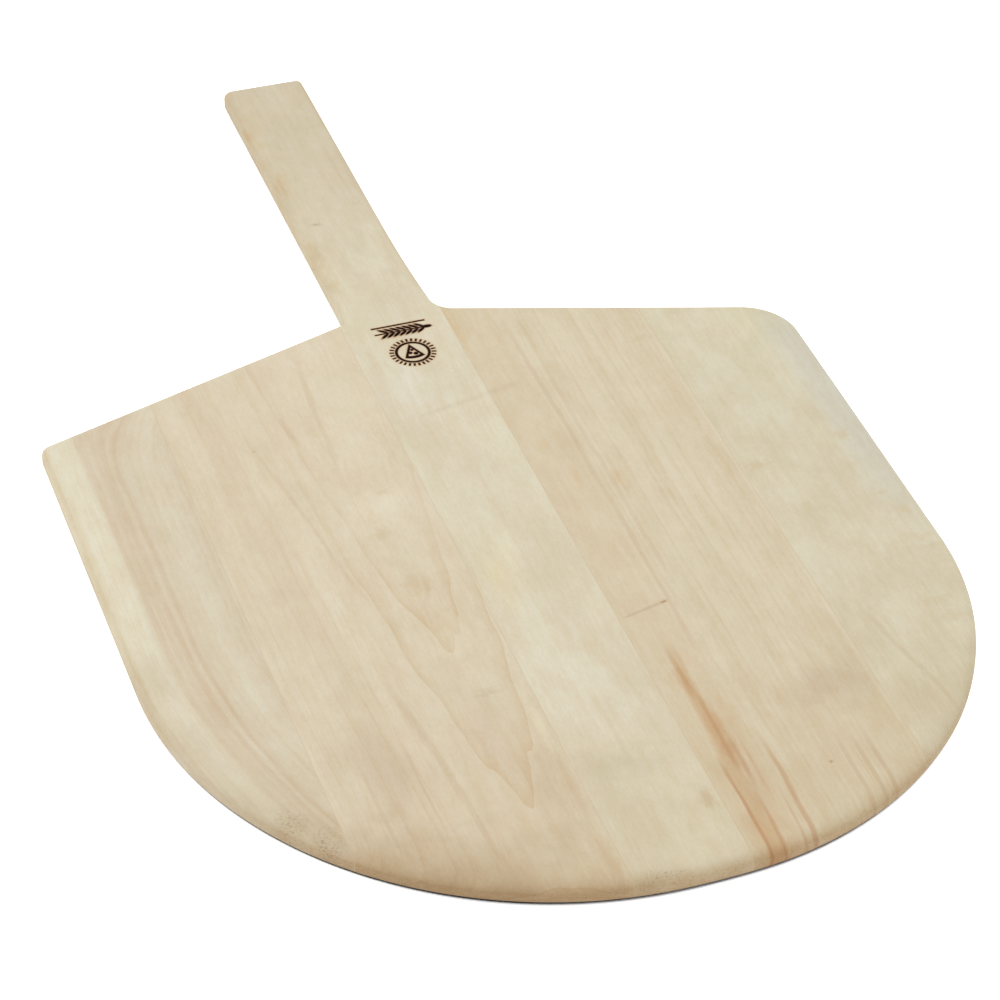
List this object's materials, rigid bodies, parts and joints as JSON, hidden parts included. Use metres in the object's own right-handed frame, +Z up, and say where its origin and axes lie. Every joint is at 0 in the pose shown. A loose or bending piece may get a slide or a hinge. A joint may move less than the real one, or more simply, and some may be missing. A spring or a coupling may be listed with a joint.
{
  "type": "pizza peel",
  "caption": "Flat wooden peel with a round-nosed blade and a short straight handle, edge-glued from boards, for sliding dough in and out of an oven.",
  "frame": {"origin": "under the middle of the whole peel, on its flat underside", "axes": "+X across the blade, +Y along the peel from the blade's tip towards the handle's end, +Z up out of the working face"},
  "size_m": [0.3556, 0.6096, 0.0095],
  "materials": {
    "centre_board_wood": "sanded bare sapwood, palest board",
    "left_inner_board_wood": "sanded bare wood, nested arch figure",
    "right_inner_board_wood": "sanded bare wood, straight fine grain with a reddish streak",
    "left_outer_board_wood": "sanded bare wood, pale edge band",
    "right_outer_board_wood": "sanded bare wood, cloudy figure",
    "cured_glue": "cured wood glue, sanded flush"
  },
  "bodies": {
    "root": {"centre_board": "centre_board_wood", "left_inner_board": "left_inner_board_wood", "right_inner_board": "right_inner_board_wood", "left_outer_board": "left_outer_board_wood", "right_outer_board": "right_outer_board_wood", "left_inner_glue_line": "cured_glue", "right_inner_glue_line": "cured_glue", "left_outer_glue_line": "cured_glue", "right_outer_glue_line": "cured_glue"}
  },
  "joints": []
}
